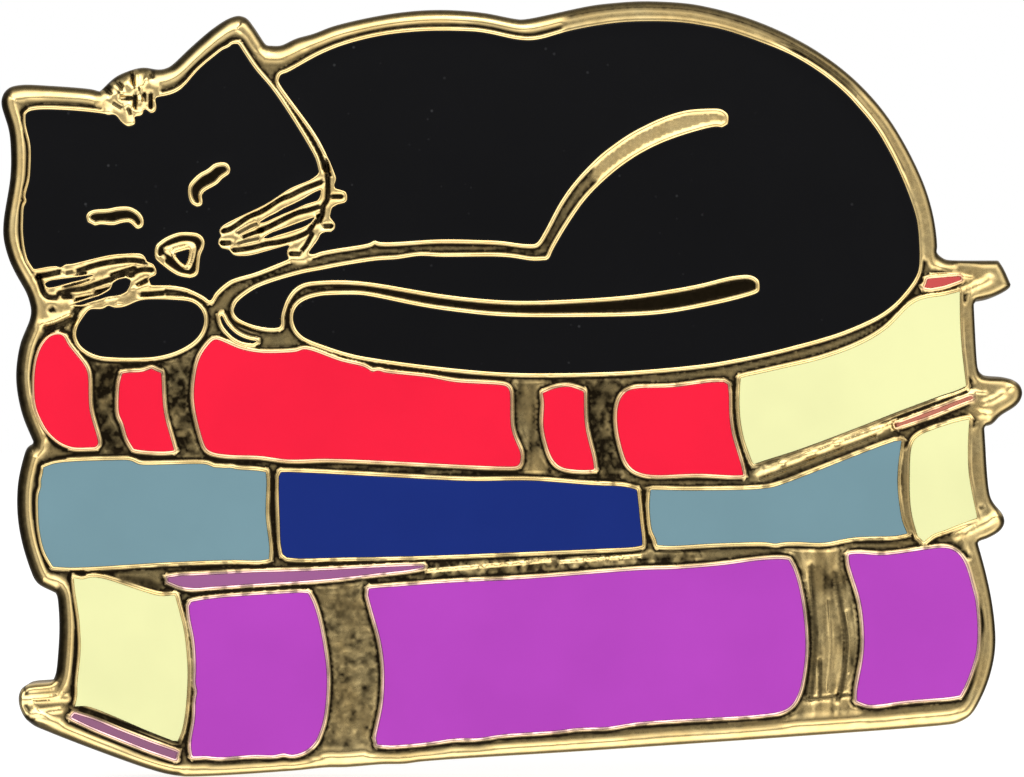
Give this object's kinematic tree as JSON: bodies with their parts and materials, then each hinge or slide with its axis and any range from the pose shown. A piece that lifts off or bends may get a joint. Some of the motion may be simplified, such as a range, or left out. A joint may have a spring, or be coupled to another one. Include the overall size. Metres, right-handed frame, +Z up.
{
  "type": "enamel pin",
  "caption": "Hard-enamel lapel pin of a sleeping cat curled on a stack of books, held on by sliding butterfly clutches on pin posts.",
  "frame": {"origin": "middle of the smooth panel on the back of the plate", "axes": "+X to the viewer's right when the picture side is seen, +Z up in the picture, +Y out of the back along the pin posts; the picture side faces -Y"},
  "size_m": [0.032, 0.0103, 0.0244],
  "materials": {
    "gold_plating": "bright gold plate over die-struck metal, polished on the raised edges, darker and pebbled on the wide bare bands",
    "post_metal": "gold-plated turned post",
    "clutch_metal": "gold-plated stamped sheet",
    "enamel_black": "hard enamel, polished flat, glossy",
    "enamel_red": "hard enamel, polished flat, glossy",
    "enamel_cream": "hard enamel, polished flat, glossy",
    "enamel_grey_blue": "hard enamel, polished flat, glossy",
    "enamel_navy": "hard enamel, polished flat, glossy",
    "enamel_purple": "hard enamel, polished flat, glossy",
    "enamel_mauve": "thin film of the purple enamel over metal"
  },
  "bodies": {
    "pin": {"base_plate": "gold_plating", "enamel_cat_head": "enamel_black", "enamel_cat_body": "enamel_black", "enamel_cat_forepaw": "enamel_black", "enamel_nose": "enamel_black", "enamel_whisker_gap_1": "enamel_black", "enamel_whisker_gap_2": "enamel_black", "enamel_whisker_gap_3": "enamel_black", "enamel_whisker_gap_4": "enamel_black", "enamel_paw_crescent": "enamel_black", "enamel_red_spine_1": "enamel_red", "enamel_red_spine_2": "enamel_red", "enamel_red_spine_3": "enamel_red", "enamel_red_spine_4": "enamel_red", "enamel_red_spine_5": "enamel_red", "enamel_red_cover_upper": "enamel_red", "enamel_red_cover_lower": "enamel_red", "enamel_pages_top": "enamel_cream", "enamel_pages_middle": "enamel_cream", "enamel_pages_bottom": "enamel_cream", "enamel_blue_spine_left": "enamel_grey_blue", "enamel_blue_spine_right": "enamel_grey_blue", "enamel_navy_label": "enamel_navy", "enamel_purple_spine_1": "enamel_purple", "enamel_purple_spine_2": "enamel_purple", "enamel_purple_spine_3": "enamel_purple", "enamel_purple_cover_upper": "enamel_mauve", "enamel_purple_cover_lower": "enamel_mauve", "pin_post_left": "post_metal", "pin_post_right": "post_metal"},
    "clutch_left": {"clutch_left_shell": "clutch_metal", "clutch_left_spring": "clutch_metal"},
    "wing_left_a": {"clutch_left_wing_a": "clutch_metal"},
    "wing_left_b": {"clutch_left_wing_b": "clutch_metal"},
    "clutch_right": {"clutch_right_shell": "clutch_metal", "clutch_right_spring": "clutch_metal"},
    "wing_right_a": {"clutch_right_wing_a": "clutch_metal"},
    "wing_right_b": {"clutch_right_wing_b": "clutch_metal"}
  },
  "joints": [
    {"name": "clutch_left_slide", "type": "slide", "parent": "pin", "child": "clutch_left", "axis": [0, 1, 0], "range_m": [-0.0004, 0.0095]},
    {"name": "wing_left_b_squeeze", "type": "hinge", "parent": "clutch_left", "child": "wing_left_b", "pos_m": [-0.0068, 0.0028, 0], "axis": [0, 0, 1], "range_deg": [0, 10]},
    {"name": "wing_left_a_squeeze", "type": "hinge", "parent": "clutch_left", "child": "wing_left_a", "pos_m": [-0.0112, 0.0028, 0], "axis": [0, 0, -1], "range_deg": [0, 10]},
    {"name": "clutch_right_slide", "type": "slide", "parent": "pin", "child": "clutch_right", "axis": [0, 1, 0], "range_m": [-0.0004, 0.0095]},
    {"name": "wing_right_b_squeeze", "type": "hinge", "parent": "clutch_right", "child": "wing_right_b", "pos_m": [0.0112, 0.0028, 0], "axis": [0, 0, 1], "range_deg": [0, 10]},
    {"name": "wing_right_a_squeeze", "type": "hinge", "parent": "clutch_right", "child": "wing_right_a", "pos_m": [0.0068, 0.0028, 0], "axis": [0, 0, -1], "range_deg": [0, 10]}
  ],
  "couplings": [
    {"joint": "wing_left_a_squeeze", "follows": "wing_left_b_squeeze", "ratio": 1},
    {"joint": "wing_right_a_squeeze", "follows": "wing_right_b_squeeze", "ratio": 1}
  ]
}
